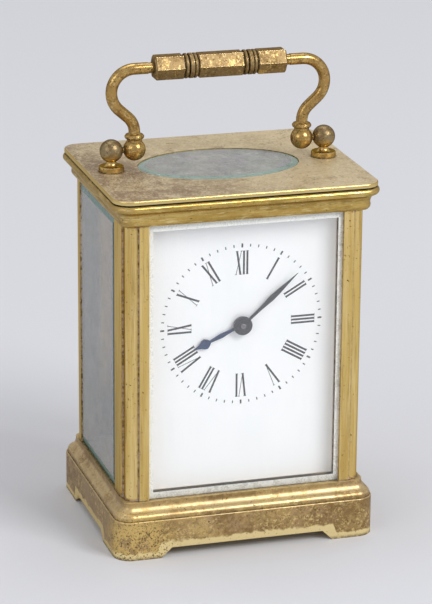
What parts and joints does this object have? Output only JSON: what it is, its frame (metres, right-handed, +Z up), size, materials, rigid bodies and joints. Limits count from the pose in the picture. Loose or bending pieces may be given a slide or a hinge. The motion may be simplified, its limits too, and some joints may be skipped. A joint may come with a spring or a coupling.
{
  "type": "travel clock",
  "caption": "Brass-cased travel clock with bevelled glass sides, a white enamel dial, a bail handle, a hinged rear door and a spring-driven lever movement.",
  "frame": {"origin": "centre of the base at the plane of its feet", "axes": "+Z up through the handle, -Y out of the dial, +X to the right as one reads the dial"},
  "size_m": [0.0826, 0.0688, 0.147],
  "materials": {
    "base_brass": "aged lacquered brass with worn patches",
    "pillar_brass": "polished brass with grime in the grooves",
    "cornice_brass": "polished brass, lightly tarnished",
    "top_plate_brass": "dull tarnished brass, bright at the rim",
    "handle_brass": "aged brass with a brown patina",
    "movement_brass": "grained brass",
    "platform_brass": "gilt and silvered brass",
    "steel": "polished steel",
    "blued_steel": "heat-blued steel",
    "bevelled_glass": "clear bevelled plate glass",
    "enamel": "white vitreous enamel on copper"
  },
  "bodies": {
    "case": {"base": "base_brass", "pillar_front_left": "pillar_brass", "pillar_front_right": "pillar_brass", "pillar_rear_left": "pillar_brass", "pillar_rear_right": "pillar_brass", "cornice": "cornice_brass", "top_plate": "top_plate_brass", "top_glass": "bevelled_glass", "front_glass": "bevelled_glass", "left_glass": "bevelled_glass", "right_glass": "bevelled_glass", "case_screws": "blued_steel", "finial_left": "handle_brass", "finial_right": "handle_brass", "handle_pivots": "handle_brass", "dial": "enamel", "dial_feet": "movement_brass", "front_plate": "movement_brass", "back_plate": "movement_brass", "plate_pillars": "movement_brass", "plate_screws": "blued_steel", "click_spring": "steel", "platform": "platform_brass", "hairspring": "blued_steel", "balance_cock": "platform_brass", "escape_bridge": "platform_brass", "platform_screws": "blued_steel"},
    "handle": {"handle_arm_left": "handle_brass", "handle_arm_right": "handle_brass", "handle_grip": "handle_brass"},
    "rear_door": {"rear_door_frame": "pillar_brass", "rear_door_glass": "bevelled_glass", "rear_door_knob": "handle_brass", "rear_door_pins": "steel"},
    "centre": {"centre_arbor": "steel", "centre_wheel": "movement_brass", "cannon_pinion": "steel", "minute_hand": "blued_steel"},
    "hour": {"hour_wheel": "movement_brass", "hour_hand": "blued_steel"},
    "minute_wheel": {"minute_wheel": "movement_brass"},
    "intermediate": {"intermediate_wheel": "movement_brass", "intermediate_arbor": "steel"},
    "barrel": {"barrel": "movement_brass", "barrel_cover": "movement_brass", "mainspring": "steel"},
    "winding": {"barrel_arbor": "steel", "ratchet_wheel": "steel"},
    "click": {"click": "steel"},
    "third": {"third_wheel": "movement_brass", "third_arbor": "steel"},
    "contrate": {"contrate_wheel": "movement_brass", "contrate_arbor": "steel"},
    "escape": {"escape_wheel": "movement_brass", "escape_arbor": "steel"},
    "lever": {"pallet_lever": "steel"},
    "balance": {"balance_wheel": "movement_brass", "balance_staff": "steel"},
    "regulator": {"regulator_index": "steel"}
  },
  "joints": [
    {"name": "handle_swing", "type": "hinge", "parent": "case", "child": "handle", "pos_m": [0, 0, 0.11855], "axis": [1, 0, 0], "range_deg": [-93, 93]},
    {"name": "rear_door_hinge", "type": "hinge", "parent": "case", "child": "rear_door", "pos_m": [0.0284, 0.02895, 0.06055], "axis": [0, 0, -1], "range_deg": [0, 95]},
    {"name": "minute_arbor", "type": "hinge", "parent": "case", "child": "centre", "pos_m": [0, -0.00285, 0.0691], "axis": [0, 1, 0], "continuous": true},
    {"name": "hour_pipe", "type": "hinge", "parent": "case", "child": "hour", "pos_m": [0, -0.02055, 0.0691], "axis": [0, 1, 0], "continuous": true},
    {"name": "minute_wheel_stud", "type": "hinge", "parent": "case", "child": "minute_wheel", "pos_m": [-0.00653, -0.0196, 0.06606], "axis": [0, 1, 0], "continuous": true},
    {"name": "intermediate_pivots", "type": "hinge", "parent": "case", "child": "intermediate", "pos_m": [0.00814, -0.00285, 0.05771], "axis": [0, 1, 0], "continuous": true},
    {"name": "barrel_turn", "type": "hinge", "parent": "case", "child": "barrel", "pos_m": [-0.004, -0.00285, 0.0415], "axis": [0, 1, 0], "continuous": true},
    {"name": "third_pivots", "type": "hinge", "parent": "case", "child": "third", "pos_m": [0.00188, -0.00285, 0.08217], "axis": [0, 1, 0], "continuous": true},
    {"name": "contrate_pivots", "type": "hinge", "parent": "case", "child": "contrate", "pos_m": [-0.007, -0.00285, 0.0845], "axis": [0, 1, 0], "continuous": true},
    {"name": "escape_pivots", "type": "hinge", "parent": "case", "child": "escape", "pos_m": [-0.007, -0.00131, 0.09178], "axis": [0, 0, 1], "continuous": true},
    {"name": "winding_arbor", "type": "hinge", "parent": "case", "child": "winding", "pos_m": [-0.004, -0.00285, 0.0415], "axis": [0, 1, 0], "continuous": true},
    {"name": "click_pivot", "type": "hinge", "parent": "case", "child": "click", "pos_m": [-0.0135, 0.01385, 0.044], "axis": [0, 1, 0], "range_deg": [-15, 0], "stiffness_Nm_per_rad": 0.001, "springref_deg": 11.46},
    {"name": "lever_pivots", "type": "hinge", "parent": "case", "child": "lever", "pos_m": [-0.0027, -0.00131, 0.09563], "axis": [0, 0, 1], "range_deg": [-5, 5]},
    {"name": "balance_staff_pivots", "type": "hinge", "parent": "case", "child": "balance", "pos_m": [0.0039, -0.00131, 0.0984], "axis": [0, 0, 1], "range_deg": [-220, 220], "stiffness_Nm_per_rad": 0.00001, "deforming": ["hairspring"]},
    {"name": "regulator_swing", "type": "hinge", "parent": "case", "child": "regulator", "pos_m": [0.0039, -0.00131, 0.1012], "axis": [0, 0, 1], "range_deg": [-20, 20]}
  ],
  "couplings": [
    {"joint": "hour_pipe", "follows": "minute_arbor", "ratio": 0.083333},
    {"joint": "minute_wheel_stud", "follows": "minute_arbor", "ratio": -0.33333},
    {"joint": "intermediate_pivots", "follows": "minute_arbor", "ratio": -0.16667},
    {"joint": "barrel_turn", "follows": "minute_arbor", "ratio": 0.020833},
    {"joint": "third_pivots", "follows": "minute_arbor", "ratio": -10},
    {"joint": "contrate_pivots", "follows": "minute_arbor", "ratio": 75},
    {"joint": "escape_pivots", "follows": "minute_arbor", "ratio": -600}
  ]
}
